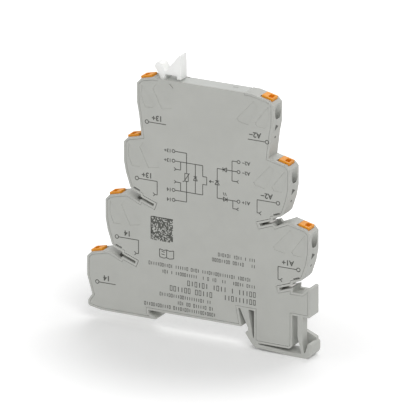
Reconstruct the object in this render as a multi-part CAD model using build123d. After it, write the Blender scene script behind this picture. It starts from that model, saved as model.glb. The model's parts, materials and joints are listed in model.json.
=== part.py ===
"""Optocoupler relay module for a 35 mm top-hat rail.

Millimetres. X runs along the module from the output side to the input side, with 0 at the
middle of the rail. Y runs along the rail, with 0 at half the module's thickness and the printed
face at -Y. Z is the distance from the rail, with 0 at the seat on the rail's flanges.
"""
from build123d import *
from collections import namedtuple
from math import cos, radians, sin, tan
import os

os.makedirs("parts", exist_ok=True)

# Rail
RAIL_WIDTH = 35.0
RAIL_SHEET = 1.0
RAIL_CLEARANCE = 0.15

# Housing walls
THICKNESS = 6.2
FACE_WALL = 0.8          # far wall, and the cover's plate
RIM_WALL = 1.1
BORDER = 0.7             # rim that shows round the cover
COVER_CLEARANCE = 0.1
INNER_WALL = 0.7
SEAM = 0.2               # how far one form of a moulding runs into the next

# Stepped tiers, counted from the top
TIER_PITCH = 20.2
BASE_HEIGHT = 15.5       # corner of the lowest output tier
INPUT_LAG = 0.5          # input tiers' corners below the output tiers'
TOP_OUTPUT = 21.5        # reach of the uppermost tier from the rail's middle
OUTPUT_STEPS = (4.7, 6.6, 6.7)    # how much further each next tier reaches
TOP_INPUT = 26.3
INPUT_STEPS = (5.9, 7.0)
TIER_RISE = 1.5          # rise of a tier's top from its outer to its inner end
TIER_RUN = 6.3
TIER_CHAMFER_RUN = 1.3
TIER_CHAMFER_RISE = 0.5
TIER_CHAMFER_DROP = 0.9
TIER_SIDE = 7.2          # upright stretch of a tier's end
TIER_BEND = 11.0
TIER_BEND_RUN = 0.7
TIER_FOOT = 15.6
TIER_FOOT_RUN = 2.2
TIER_HEEL = 16.6
TIER_HEEL_RUN = 3.1
TIER_NECK_RUN = 1.7      # where an uppermost tier meets the next one
TIER_UNDERCUT_ANGLE = 20.0
TIER_LAP = 1.0
TIER_ABOVE = 5.05        # how far a terminal's moulding and ways are drawn over its top

# Bridge slot under a tier and the throat that leads into it
SLOT_WIDTH = 0.9
SLOT_LENGTH = 4.8
SLOT_ANGLE = 20.0
SLOT_RUN = 6.0
SLOT_DROP = 18.9
THROAT_RUN = 12.1
SLIT_LENGTH = 2.2        # short slit in the cover beside the throat
SLIT_WIDTH = 0.45
SLIT_RUN = 3.5
SLIT_EDGE = 1.15
MOUTH_RUN = 3.9          # pocket in front of the slot, for a bridge's grip
MOUTH_DEPTH = 2.6
MOUTH_SIDE = 1.8
FRAME_HALF = 1.3         # shallow recess round the slot's end in the cover
FRAME_START = 0.4
FRAME_END = 1.0

# Shallow recesses in the cover beside a terminal, as run and drop from its corner
RECESS_SINK = 0.15
OUTER_LEAF = ((1.7, 1.3), (6.4, 7.5), (5.6, 8.5), (2.8, 8.6), (1.4, 5.0))
INNER_LEAF = ((6.8, 0.3), (12.7, 6.8), (12.2, 7.7), (8.7, 8.4), (7.8, 6.7), (5.6, 2.0))

# Top of the housing
TOP_SKIM = 0.5           # flat top below the crests of the output tiers
NOTCH_DEPTH = 1.3        # dip between the first output tier and the lever
NOTCH_RUN = 1.7
TOP_NICK_RUN = 3.1       # short slanted nick in the cover, from the pivot
TOP_NICK_DROP = 0.6
TOP_NICK_LENGTH = 1.1
TOP_NICK_WIDTH = 0.35

# Base of the housing
BASE_DROP = 2.8          # depth of the output side's base below the seat
BASE_CORNER_RUN = 5.0
BASE_CHAMFER = 0.9
BASE_NOTCH_RUN = 1.8
BASE_NOTCH_TOP = 2.1
BASE_BULGE_RUN = 0.3
BASE_BULGE_TOP = -0.1
HOOK_NOSE = 2.7          # how far the fixed hook reaches under the flange
HOOK_LEAN = 0.4
HOOK_ROUND = 0.2
BASE_NOTCH_ROUND = 0.6
BASE_BULGE_ROUND = 0.9
BASE_CORNER_ROUND = 2.0
TAB_X = 15.4             # end of the seat beside the sprung foot
TAB_LEAN = 1.2
TAB_SLOT_TOP = 6.0
LEG_LEFT = 19.8
LEG_SETBACK = 6.1        # of the leg's outer side from the block's end
LEG_DROP = 4.6
LEG_ROUND = 1.5
BLOCK_PROUD = 0.1        # plain block beyond the lowest input tier
BLOCK_FLOOR = 6.7
BLOCK_DROP = 19.0        # block's top below that tier's corner
BLOCK_RIM = 0.9
BLOCK_SCOOP = 2.6
BLOCK_SCOOP_DROP = 1.8
BLOCK_ROUND = 0.3
BLOCK_SHOULDER_ROUND = 0.4
BLOCK_SCOOP_ROUND = 0.6

# Sprung rail foot
FOOT_DROP = 7.0          # lowest point below the seat
FOOT_RISE = 0.9          # rise of the sole from the strut to the arm
FOOT_PROUD = 0.7         # foot beyond the block
FOOT_GAP = 0.4
ARM_TOP = 14.9
ARM_WIDTH = 2.9
ARM_BEND = 1.8
ARM_SHOULDER_ROUND = 0.4
ARM_INNER_ROUND = 1.5
ARM_FOOT_ROUND = 1.0
FLANGE_NOSE = 0.8
NOSE_LEAN = 0.4
NOSE_HEIGHT = 0.6
NOSE_ROUND = 0.2
NOSE_HEEL_ROUND = 0.3
SOLE = 1.3
SOLE_ROUND = 3.0         # upper side of the sole
SOLE_UNDER_ROUND = 4.0
KNOB_WIDTH = 2.2
KNOB_TOP = -1.9
KNOB_LIP = 1.3
KNOB_ROUND = 2.4
KNOB_TOP_ROUND = 0.9
KNOB_LIP_ROUND = 0.3
POCKET_ROUND = 0.5
POCKET_WIDTH = 1.3       # screwdriver pocket between strut and knob
STRUT_SETBACK = 4.2      # of the strut from the block's end
STRUT_WIDTH = 1.7
STRUT_LEAN = 1.6
STRUT_DEPTH = 3.4        # along Y, from the printed face
STRUT_ROUND = 2.0
GUSSET_WALL = 1.6
GUSSET_RISE = 0.9
GUSSET_ROUND = 0.4

# Release button
BUTTON_TILT = 13.4       # button axis from upright, square to the tier's top
BUTTON_WIDTH = 3.8
BUTTON_DEPTH = 3.9       # along Y
BUTTON_EDGE = 1.0
BUTTON_HEAD = 1.6
BUTTON_LENGTH = 8.2
BUTTON_PROUD = 0.3
BUTTON_TRAVEL = 1.2
BUTTON_CLEARANCE = 0.15
BUTTON_END_GAP = 0.5
SHANK_WIDTH = 1.7
SHANK_OFFSET = 1.9
RECESS_WIDTH = 1.5       # screwdriver recess in the button's head
RECESS_EDGE = 0.5
RECESS_DEPTH = 1.6
RECESS_SPAN = 2.4

# Wire entry and the guides moulded round it
ENTRY_TILT = 30.0
ENTRY_TOP = 1.0
ENTRY_FOOT = 5.9
ENTRY_SHIFT = 0.3        # toward the far wall
ENTRY_SPAN = 3.9         # along Y
ENTRY_ROUND = 1.2
GUIDE_FLOOR = 8.6        # underside of the guides below the tier's corner
GUIDE_RUN = 7.4
MARK_DROP = 8.6
MARK_SIZE = 1.9
MARK_DEPTH = 0.35

# Clamp springs and contact bars
SPRING_STRIP = 0.3
SPRING_SPAN = 3.0
SPRING_BEND = 0.6
SPRING_LEG = 6.1
SPRING_TOP = 8.7
SPRING_CROWN = 1.0
SPRING_TIP = 1.5
SPRING_SEAT_GAP = 0.2
BAR_STRIP = 0.5
BAR_NEAR = -0.9
BAR_BEND = 0.6
BAR_TOP_RUN = 2.3
BAR_TOP_DROP = 10.2
BAR_FOOT_RUN = 3.6
BAR_FOOT_DROP = 13.6
BAR_SEAT_RUN = 7.6
BAR_SLOPE = 22.0
SUPPLY_RUN = 10.0        # risers, from the end of the tier that each belongs to
LOAD_RUN = 13.4
MINUS_RUN = 8.3
PLUS_RUN = 14.0
TINE_STRIP = 0.4
TINE_GAP = 1.0
TINE_START = 1.2
FORK_TAIL = 2.2
TAB_SPAN = 2.4
TAB_LAP = 2.6
SUPPLY_TAB_DROP = 11.0   # soldering tabs, from the board's top
MINUS_TAB_DROP = 14.0
LOAD_TAB_RISE = 4.0      # from its lower edge

# Plug-in relay and its pocket
RELAY_RIGHT = 16.1
RELAY_LENGTH = 28.0
RELAY_THICKNESS = 4.8
RELAY_SUNK = 0.1         # relay's top below the housing's
RELAY_HEIGHT = 15.2
RELAY_BASE = 1.2
RELAY_CLEARANCE = 0.2
RELAY_SIDE_CLEARANCE = 0.15
RELAY_ROUND = 0.3
CAP_HEIGHT = 0.7         # rim of the relay that covers the pocket's far wall
CAP_INSET = 0.9
DIMPLE_PLACE = 4.9       # shallow dimple in the relay's top, from its right end
DIMPLE_LENGTH = 1.9
DIMPLE_WIDTH = 0.9
DIMPLE_DEPTH = 0.2
FLOOR_WALL = 0.8
PIN_LENGTH = 3.2
PIN_SPAN = 0.9
PIN_STRIP = 0.4
PIN_PLACES = (14.0, 10.2, -3.0, -8.0)
SOCKET_CLEARANCE = 0.12
SOCKET_STRIP = 0.35
SOCKET_SPAN = 1.4
SOCKET_BASE = 0.4

# Lever
LEVER_THICKNESS = 4.0
PIVOT_X = -13.0
PIVOT_DROP = 0.6         # below the housing's top
LEVER_BARREL = 0.9       # radius of the lever about its pivot
LEVER_PIN = 1.2
LEVER_PIN_CLEARANCE = 0.1
LEVER_PIN_SPAN = 5.4
LEVER_RISE = 9.3
LEVER_REACH = 6.5
FINGER_REACH = 2.9       # smaller ear
FINGER_RISE = 5.5
FINGER_WIDTH = 2.6
VALLEY_RISE = 2.9        # between the ears
EAR_ROUND = 0.7
LEVER_BACK_ROUND = 1.0
LEVER_EDGE_ROUND = 0.3
LEVER_CORNER_ROUND = 0.2
TOE_SHOULDER_ROUND = 0.4
TOE_HEEL_ROUND = 0.5
LEVER_HOLD = 0.3         # gap between the lever's hold and the relay
LEVER_HOLD_RUN = 1.5
LEVER_RELIEF = 1.2
LEVER_ROOM = 1.2         # from the pivot to the pocket's wall
TOE_REACH = 2.0
TOE_HEIGHT = 1.0
TOE_CLEARANCE = 0.4
TOE_DROP = 0.9           # room under the toe for its swing
TOE_ROOM = 1.2

# Circuit board and the parts on it
BOARD_OUTPUT_GAP = 2.1   # from the board to the riser beside it
BOARD_INPUT_GAP = 1.4
BOARD_BOTTOM = 8.0
BOARD_GAP = 6.3          # from the board to the relay
BOARD_STRIP = 1.0
BOARD_RIB = 0.4
BOARD_INSET = 5.0
BOARD_ROUND = 0.8
LED_X = -5.6
LED_SIZE = 1.6
LED_DEPTH = 2.7
GUIDE_STRIP = 1.0
GUIDE_NEAR = -2.1
GUIDE_GAP = 0.2
VARISTOR_DIAMETER = 5.0
VARISTOR_DEPTH = 1.8
VARISTOR_DROP = 24.0     # parts, from the board's top
RESISTOR_DROP = 12.0
INPUT_DIODE_DROP = 20.0
FREEWHEEL_DROP = 34.0
CAPACITOR_DROP = 28.0
INPUT_ROW = 9.0
DIODE_SIZE = (4.2, 1.9, 2.6)
RESISTOR_SIZE = (3.2, 0.6, 1.6)
CAPACITOR_SIZE = (3.2, 1.6, 2.5)
LEAD_LENGTH = 0.6
LEAD_STRIP = 0.2

# Pegs of the cover in bosses of the shell
PEG_DIAMETER = 1.2
PEG_LENGTH = 2.4
BOSS_WALL = 0.6
OUTPUT_PEGS = ((1, 10.0, 8.4), (2, 12.3, 5.7), (3, 9.5, 5.0))    # tier, run and drop
INPUT_PEGS = ((1, 11.6, 5.4), (2, 16.7, 8.2))
LEG_PEG_RISE = 2.0

NEAR = -THICKNESS / 2
FAR = THICKNESS / 2
COVER_INNER = NEAR + FACE_WALL
WALL_INNER = FAR - FACE_WALL
BOARD_FAR = WALL_INNER - BOARD_RIB
BOARD_NEAR = BOARD_FAR - BOARD_STRIP
RAIL_EDGE = RAIL_WIDTH / 2 + RAIL_CLEARANCE
FLANGE_UNDER = -RAIL_SHEET - RAIL_CLEARANCE
TIER_CREST = TIER_CHAMFER_RISE + TIER_RISE
OUTPUT_REACH = [TOP_OUTPUT + sum(OUTPUT_STEPS[:n]) for n in range(len(OUTPUT_STEPS) + 1)]
INPUT_REACH = [TOP_INPUT + sum(INPUT_STEPS[:n]) for n in range(len(INPUT_STEPS) + 1)]
TOP_CORNER = BASE_HEIGHT + len(OUTPUT_STEPS) * TIER_PITCH
TOP_EDGE = TOP_CORNER + TIER_CREST - TOP_SKIM
BLOCK_REACH = INPUT_REACH[-1] + BLOCK_PROUD
LEG_RIGHT = BLOCK_REACH - LEG_SETBACK
STRUT_LEFT = BLOCK_REACH - STRUT_SETBACK
STRUT_RIGHT = STRUT_LEFT + STRUT_WIDTH
FOOT_END = BLOCK_REACH + FOOT_PROUD
RELAY_TOP = TOP_EDGE - RELAY_SUNK
PIVOT_Z = TOP_EDGE - PIVOT_DROP
LEVER_TOP = PIVOT_Z + LEVER_RISE
LEVER_RIGHT = PIVOT_X + LEVER_REACH
RELAY_LEFT = RELAY_RIGHT - RELAY_LENGTH
RELAY_BOTTOM = RELAY_TOP - RELAY_HEIGHT
POCKET_RIGHT = RELAY_RIGHT + RELAY_CLEARANCE
POCKET_LEFT = PIVOT_X - LEVER_ROOM
POCKET_FLOOR = RELAY_BOTTOM - RELAY_CLEARANCE
POCKET_UNDER = POCKET_FLOOR - FLOOR_WALL
PIN_END = RELAY_BOTTOM - PIN_LENGTH
CAP_LEFT = LEVER_RIGHT + CAP_INSET
BOARD_TOP = RELAY_BOTTOM - BOARD_GAP
TINE_HALF = TINE_GAP / 2 + TINE_STRIP
FORK_END = SLOT_LENGTH + FORK_TAIL
BAR_SEAT_DROP = BAR_FOOT_DROP + (BAR_SEAT_RUN - BAR_FOOT_RUN) * tan(radians(BAR_SLOPE))
SUPPLY_RISER = OUTPUT_REACH[0] - SUPPLY_RUN
LOAD_RISER = OUTPUT_REACH[2] - LOAD_RUN
MINUS_RISER = INPUT_REACH[0] - MINUS_RUN
PLUS_RISER = INPUT_REACH[2] - PLUS_RUN
BOARD_LEFT = BOARD_OUTPUT_GAP - SUPPLY_RISER
BOARD_RIGHT = MINUS_RISER - BOARD_INPUT_GAP
PEG_HOLE = PEG_DIAMETER + 2 * COVER_CLEARANCE

Tier = namedtuple("Tier", "name side reach corner")
OUTPUTS = [
    Tier(f"out_{n + 1}", -1, reach, TOP_CORNER - n * TIER_PITCH)
    for n, reach in enumerate(OUTPUT_REACH)
]
INPUTS = [
    Tier(f"in_{n + 1}", 1, reach, TOP_CORNER - INPUT_LAG - n * TIER_PITCH)
    for n, reach in enumerate(INPUT_REACH)
]
TIERS = OUTPUTS + INPUTS
SLOTTED = OUTPUTS[1:3] + INPUTS[1:3]
LEAVED = OUTPUTS[:3] + INPUTS


def shape(points, radius=0.0):
    """Filled side-view outline, its corners rounded alike or one by one."""
    return make_face(FilletPolyline(*points, radius=radius, close=True))


def slab(face, low, high):
    """Solid of a side-view face between two depths."""
    return extrude(Plane.XZ.offset(-high) * face, amount=high - low, dir=(0, -1, 0))


def block(x, y, z):
    """Box between pairs of lowest and highest values."""
    return slab(shape([(x[0], z[0]), (x[1], z[0]), (x[1], z[1]), (x[0], z[1])]), *y)


def strip(points, thickness, low, high, radius=0.0):
    """Bent strip of sheet along a side-view path."""
    path = FilletPolyline(*points, radius=radius) if radius else Polyline(*points)
    return slab(trace(path, thickness), low, high)


def round_slab(place, diameter, low, high):
    """Cylinder along Y about a side-view place."""
    return slab(Location((place[0], place[1], 0)) * Circle(diameter / 2), low, high)


def at(tier, run, drop):
    """Side-view point by its run inward and its drop from a tier's corner."""
    return (tier.side * (tier.reach - run), tier.corner - drop)


def along_button(tier, sink, across):
    """Side-view point by its way down the button's axis and inward across it."""
    tilt = radians(BUTTON_TILT)
    return at(tier, sink * sin(tilt) + across * cos(tilt), sink * cos(tilt) - across * sin(tilt))


def undercut(run):
    """Drop of a tier's underside at a run inward from its end."""
    return TIER_HEEL + (run - TIER_HEEL_RUN) * tan(radians(TIER_UNDERCUT_ANGLE))


def slot_axis(tier, travel, across=0.0):
    """Point of the bridge slot under a tier, by the way along it and across it."""
    angle = radians(SLOT_ANGLE)
    run = SLOT_RUN + travel * cos(angle) - across * sin(angle)
    return at(tier, run, SLOT_DROP + travel * sin(angle) + across * cos(angle))


def slot_band(tier, start, end, half):
    """Straight band about the centre line of the bridge slot under a tier."""
    corners = ((start, -half), (end, -half), (end, half), (start, half))
    return shape([slot_axis(tier, travel, across) for travel, across in corners])


def tier_block(tier, above):
    """One tier, reaching in from its end to the housing's middle."""
    crown = [at(tier, tier.reach, -TIER_CREST)]
    if above in SLOTTED:
        crown = [
            at(above, above.reach, undercut(SLOT_RUN)),
            at(above, SLOT_RUN, undercut(SLOT_RUN)),
            slot_axis(above, 0, SLOT_WIDTH / 2),
            at(tier, THROAT_RUN, 0),
        ]
    end = [
        at(tier, TIER_CHAMFER_RUN + TIER_RUN, -TIER_CREST),
        at(tier, TIER_CHAMFER_RUN, -TIER_CHAMFER_RISE),
        at(tier, 0, TIER_CHAMFER_DROP),
        at(tier, 0, TIER_SIDE),
    ]
    if tier is OUTPUTS[-1]:
        notch = (BASE_NOTCH_RUN - tier.reach, BASE_NOTCH_TOP)
        return shape(crown + end + [notch, (-RAIL_EDGE, 0), (0, 0)])
    foot = [at(tier, TIER_BEND_RUN, TIER_BEND)]
    if tier in SLOTTED:
        foot += [at(tier, TIER_FOOT_RUN, TIER_FOOT), at(tier, TIER_HEEL_RUN, TIER_HEEL)]
        foot += [at(tier, tier.reach, undercut(tier.reach))]
    else:
        foot += [at(tier, run, TIER_PITCH - TIER_LAP) for run in (TIER_NECK_RUN, tier.reach)]
    return shape(crown + end + foot)


def output_base():
    """Bulged base of the output side with the fixed hook under the rail's flange."""
    tier = OUTPUTS[-1]
    nose = -RAIL_EDGE + HOOK_NOSE
    points = [
        (BASE_NOTCH_RUN - tier.reach, BASE_NOTCH_TOP),
        (BASE_BULGE_RUN - tier.reach, BASE_BULGE_TOP),
        (BASE_BULGE_RUN - tier.reach, BASE_CHAMFER - BASE_DROP),
        (BASE_CORNER_RUN - tier.reach, -BASE_DROP),
        (nose, -BASE_DROP),
        (nose + HOOK_LEAN, HOOK_LEAN - BASE_DROP),
        (-RAIL_EDGE, FLANGE_UNDER),
        (-RAIL_EDGE, SEAM),
    ]
    return shape(points, radius=[
        0, BASE_NOTCH_ROUND, BASE_BULGE_ROUND, BASE_CORNER_ROUND, HOOK_ROUND, HOOK_ROUND, HOOK_ROUND / 2, 0,
    ])


def input_base():
    """Seat beside the sprung foot, leg and plain block of the input side."""
    above = INPUTS[-1]
    top = above.corner - BLOCK_DROP
    scoop_floor = top - BLOCK_SCOOP_DROP
    corners = [
        ((0, 0), 0),
        ((TAB_X, 0), HOOK_ROUND),
        ((TAB_X - TAB_LEAN, TAB_SLOT_TOP), 0),
        ((LEG_LEFT, TAB_SLOT_TOP), 0),
        ((LEG_LEFT, -LEG_DROP), LEG_ROUND),
        ((LEG_RIGHT, -LEG_DROP), LEG_ROUND),
        ((LEG_RIGHT, BLOCK_FLOOR), 0),
        ((BLOCK_REACH, BLOCK_FLOOR), BLOCK_ROUND),
        ((BLOCK_REACH, top), BLOCK_SHOULDER_ROUND),
        ((BLOCK_REACH - BLOCK_RIM, top), BLOCK_ROUND),
        ((BLOCK_REACH - BLOCK_SCOOP, scoop_floor), BLOCK_SCOOP_ROUND),
        ((BLOCK_REACH - THROAT_RUN / 2, scoop_floor), 0),
        (slot_axis(above, 0, SLOT_WIDTH / 2), 0),
        (at(above, SLOT_RUN, undercut(SLOT_RUN)), 0),
        (at(above, above.reach, undercut(SLOT_RUN)), 0),
    ]
    return shape([point for point, _ in corners], radius=[radius for _, radius in corners])


def housing_outline():
    """Side view of the housing without its sprung foot."""
    outline = output_base() + input_base()
    for side in (OUTPUTS, INPUTS):
        for above, tier in zip([None] + side, side):
            outline += tier_block(tier, above)
    for tier in SLOTTED:
        outline -= slot_band(tier, -SLOT_WIDTH, SLOT_LENGTH, SLOT_WIDTH / 2)
    side = TOP_CORNER
    return outline - shape([(-side, TOP_EDGE), (side, TOP_EDGE), (side, LEVER_TOP), (-side, LEVER_TOP)])


def foot_sole():
    """Arm of the sprung foot with its nose under the flange, and the sole that it carries."""
    low = -FOOT_DROP
    nose = RAIL_EDGE - FLANGE_NOSE
    knob = FOOT_END - KNOB_WIDTH
    arm_right = ARM_TOP + ARM_WIDTH
    corners = [
        ((ARM_TOP, TAB_SLOT_TOP + SEAM), 0),
        ((ARM_TOP, TAB_SLOT_TOP), 0),
        ((RAIL_EDGE, 0), ARM_SHOULDER_ROUND),
        ((RAIL_EDGE, FLANGE_UNDER), NOSE_ROUND / 2),
        ((nose, FLANGE_UNDER - NOSE_LEAN), NOSE_ROUND),
        ((nose, FLANGE_UNDER - NOSE_LEAN - NOSE_HEIGHT), NOSE_HEEL_ROUND),
        ((LEG_LEFT, low + FOOT_RISE), ARM_BEND),
        ((LEG_RIGHT, low), SOLE_UNDER_ROUND),
        ((knob, low), 0),
        ((knob, low + SOLE), 0),
        ((LEG_RIGHT, low + SOLE), SOLE_ROUND),
        ((LEG_LEFT + ARM_BEND, -LEG_DROP - FOOT_GAP), ARM_FOOT_ROUND),
        ((LEG_LEFT - FOOT_GAP, FLANGE_UNDER - ARM_BEND), ARM_INNER_ROUND),
        ((arm_right, TAB_SLOT_TOP), 0),
        ((arm_right, TAB_SLOT_TOP + SEAM), 0),
    ]
    return shape([point for point, _ in corners], radius=[radius for _, radius in corners])


def sprung_foot():
    """Rail foot in one with the housing: arm, sole, strut, knob and screwdriver pocket."""
    low = -FOOT_DROP
    knob = FOOT_END - KNOB_WIDTH
    foot = foot_sole()
    foot += shape([
        (knob - POCKET_WIDTH, low),
        (FOOT_END, low),
        (FOOT_END, KNOB_TOP),
        (FOOT_END - KNOB_LIP, KNOB_TOP),
        (knob, low + SOLE + POCKET_WIDTH / 2),
        (knob - POCKET_WIDTH, low + SOLE),
    ], radius=[0, KNOB_ROUND, KNOB_TOP_ROUND, KNOB_LIP_ROUND, POCKET_ROUND, 0])
    strut = shape([
        (STRUT_LEFT, BLOCK_FLOOR + SEAM),
        (STRUT_LEFT, 0),
        (STRUT_LEFT + STRUT_LEAN, low + SEAM),
        (STRUT_RIGHT + STRUT_LEAN / 2, low + SEAM),
        (STRUT_RIGHT, KNOB_TOP),
        (STRUT_RIGHT, BLOCK_FLOOR + SEAM),
    ], radius=[0, STRUT_ROUND, 0, 0, STRUT_ROUND, 0])
    gusset = shape([
        (STRUT_LEFT + STRUT_LEAN, low + SOLE / 2),
        (FOOT_END - KNOB_LIP, low + SOLE / 2),
        (FOOT_END - KNOB_LIP / 2, KNOB_TOP),
        (FOOT_END - KNOB_LIP / 2, KNOB_TOP + GUSSET_RISE),
        (STRUT_LEFT, KNOB_TOP + 3 * GUSSET_RISE),
        (STRUT_LEFT, KNOB_TOP),
    ], radius=[0, 0, 0, GUSSET_ROUND, GUSSET_ROUND, 0])
    solid = slab(foot, NEAR, FAR) + slab(strut, NEAR, NEAR + STRUT_DEPTH)
    return solid + slab(gusset, FAR - GUSSET_WALL, FAR)


def guide_region(tier):
    """Side view of the moulding round a terminal's button and wire entry."""
    corners = ((0, -TIER_ABOVE), (GUIDE_RUN, -TIER_ABOVE), (GUIDE_RUN, GUIDE_FLOOR), (0, GUIDE_FLOOR))
    return shape([at(tier, run, drop) for run, drop in corners])


def button_band(tier, start, end, outer, inner):
    """Side view of a stretch of the button or of its way."""
    corners = ((start, outer), (start, inner), (end, inner), (end, outer))
    return shape([along_button(tier, sink, across) for sink, across in corners])


def button_way(tier):
    """Stepped way of a release button through the moulding."""
    inner = BUTTON_EDGE + BUTTON_WIDTH + BUTTON_END_GAP
    head_floor = BUTTON_HEAD + BUTTON_TRAVEL + BUTTON_END_GAP
    shank = BUTTON_EDGE + SHANK_OFFSET
    way = button_band(tier, -TIER_ABOVE, head_floor, BUTTON_EDGE - BUTTON_CLEARANCE, inner)
    way += button_band(tier, 0, BUTTON_LENGTH + 2 * BUTTON_TRAVEL, shank - BUTTON_CLEARANCE,
                       shank + SHANK_WIDTH + BUTTON_CLEARANCE)
    half = BUTTON_DEPTH / 2 + BUTTON_CLEARANCE
    return slab(way, -half, half)


def wire_entry(tier):
    """Rounded wire entry, slanting down into the clamping chamber."""
    tilt = radians(ENTRY_TILT)
    height = (ENTRY_FOOT - ENTRY_TOP) * sin(tilt)
    x, z = at(tier, 0, (ENTRY_TOP + ENTRY_FOOT) / 2)
    heading = (-tier.side * sin(tilt), 0, -cos(tilt))
    plane = Plane(origin=(x, ENTRY_SHIFT, z), x_dir=(0, 1, 0), z_dir=heading)
    section = plane * RectangleRounded(ENTRY_SPAN, height, ENTRY_ROUND)
    return extrude(section, amount=GUIDE_FLOOR, both=True)


def end_mark(tier):
    """Moulded arrow in the end of a tier."""
    origin = (tier.side * (tier.reach + MARK_DEPTH), 0, tier.corner - MARK_DROP)
    plane = Plane(origin=origin, x_dir=(0, 1, 0), z_dir=(tier.side, 0, 0))
    half = MARK_SIZE / 2
    arrow = make_face(Polyline((-half, -half), (half, 0), (-half, half), close=True))
    return extrude(plane * arrow, amount=-2 * MARK_DEPTH)


def relay_opening():
    """Room for the relay and the lever, with the notch beside the lever."""
    half = RELAY_THICKNESS / 2 + RELAY_SIDE_CLEARANCE
    sides = (POCKET_LEFT, POCKET_RIGHT)
    room = block(sides, (-half, half), (POCKET_FLOOR, LEVER_TOP))
    room += block(sides, (NEAR - SEAM, 0), (TOP_EDGE - RIM_WALL, LEVER_TOP))
    notch = shape([
        (POCKET_LEFT + SEAM, LEVER_TOP),
        (POCKET_LEFT - NOTCH_RUN, LEVER_TOP),
        (POCKET_LEFT - NOTCH_RUN, TOP_EDGE - SEAM),
        (POCKET_LEFT + SEAM, TOP_EDGE - NOTCH_DEPTH),
    ])
    room += slab(notch, COVER_INNER, WALL_INNER)
    return room + round_slab((PIVOT_X, PIVOT_Z), LEVER_PIN + 2 * LEVER_PIN_CLEARANCE, 0, pin_room())


def pin_room():
    """Depth that the lever's pin needs in a face wall."""
    return LEVER_PIN_SPAN / 2 + COVER_CLEARANCE


def pocket_walls():
    """Walls and floor of the relay pocket, the floor open for the relay's pins."""
    inside = (COVER_INNER, WALL_INNER)
    walls = block((POCKET_LEFT - INNER_WALL, POCKET_LEFT), inside, (POCKET_FLOOR, TOP_EDGE))
    walls += block((POCKET_RIGHT, POCKET_RIGHT + INNER_WALL), inside, (POCKET_UNDER, TOP_EDGE))
    walls += block((RELAY_LEFT - RELAY_CLEARANCE, POCKET_RIGHT), inside, (POCKET_UNDER, POCKET_FLOOR))
    half = PIN_STRIP / 2 + SOCKET_CLEARANCE + SOCKET_STRIP
    through = (POCKET_UNDER - SEAM, POCKET_FLOOR + SEAM)
    for x in PIN_PLACES:
        walls -= block((x - half, x + half), (-PIN_SPAN, PIN_SPAN), through)
    return walls


def peg_places():
    """Side-view places of the pegs that hold the cover."""
    places = [at(OUTPUTS[n], run, drop) for n, run, drop in OUTPUT_PEGS]
    places += [at(INPUTS[n], run, drop) for n, run, drop in INPUT_PEGS]
    return places + [((LEG_LEFT + LEG_RIGHT) / 2, LEG_PEG_RISE)]


def slot_mouth(tier):
    """Pocket in front of a bridge slot."""
    runs = (MOUTH_RUN, SLOT_RUN)
    corners = [at(tier, run, undercut(SLOT_RUN)) for run in runs]
    corners += [at(tier, run, SLOT_DROP + MOUTH_DEPTH) for run in runs[::-1]]
    return slab(shape(corners), -MOUTH_SIDE, MOUTH_SIDE)


def housing_shell(outline):
    """Far wall, rim, guides, relay pocket, hook and sprung foot in one moulding."""
    hollow = offset(outline, -RIM_WALL, kind=Kind.TANGENT)
    rebate = offset(outline, -BORDER, kind=Kind.TANGENT)
    shell = slab(outline, NEAR, FAR) - slab(hollow, NEAR - SEAM, WALL_INNER)
    for tier in TIERS:
        shell += slab(guide_region(tier) & hollow, COVER_INNER, WALL_INNER)
    shell += pocket_walls()
    for place in peg_places():
        shell += round_slab(place, PEG_HOLE + 2 * BOSS_WALL, COVER_INNER, WALL_INNER + SEAM)
    for z in (BOARD_BOTTOM + BOARD_INSET, BOARD_TOP - BOARD_INSET):
        shell += block((BOARD_LEFT, BOARD_RIGHT), (BOARD_FAR, WALL_INNER + SEAM), (z, z + INNER_WALL))
    for tier in TIERS:
        shell -= button_way(tier)
        shell -= wire_entry(tier)
        shell -= end_mark(tier)
    for tier in SLOTTED:
        fork_room = slot_band(tier, TINE_START - SEAM, FORK_END + SEAM, TINE_HALF + BUTTON_CLEARANCE)
        shell -= slab(fork_room, BAR_NEAR - BUTTON_CLEARANCE, WALL_INNER)
        shell -= slot_mouth(tier)
    shell -= relay_opening()
    cap_floor = RELAY_TOP - CAP_HEIGHT - RELAY_CLEARANCE
    shell -= block((CAP_LEFT - RELAY_CLEARANCE, POCKET_RIGHT), (0, FAR + SEAM), (cap_floor, LEVER_TOP))
    shell -= slab(rebate, NEAR - SEAM, COVER_INNER)
    for place in peg_places():
        shell -= round_slab(place, PEG_HOLE, COVER_INNER - SEAM, COVER_INNER + PEG_LENGTH + SEAM)
    return shell + sprung_foot()


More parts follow.
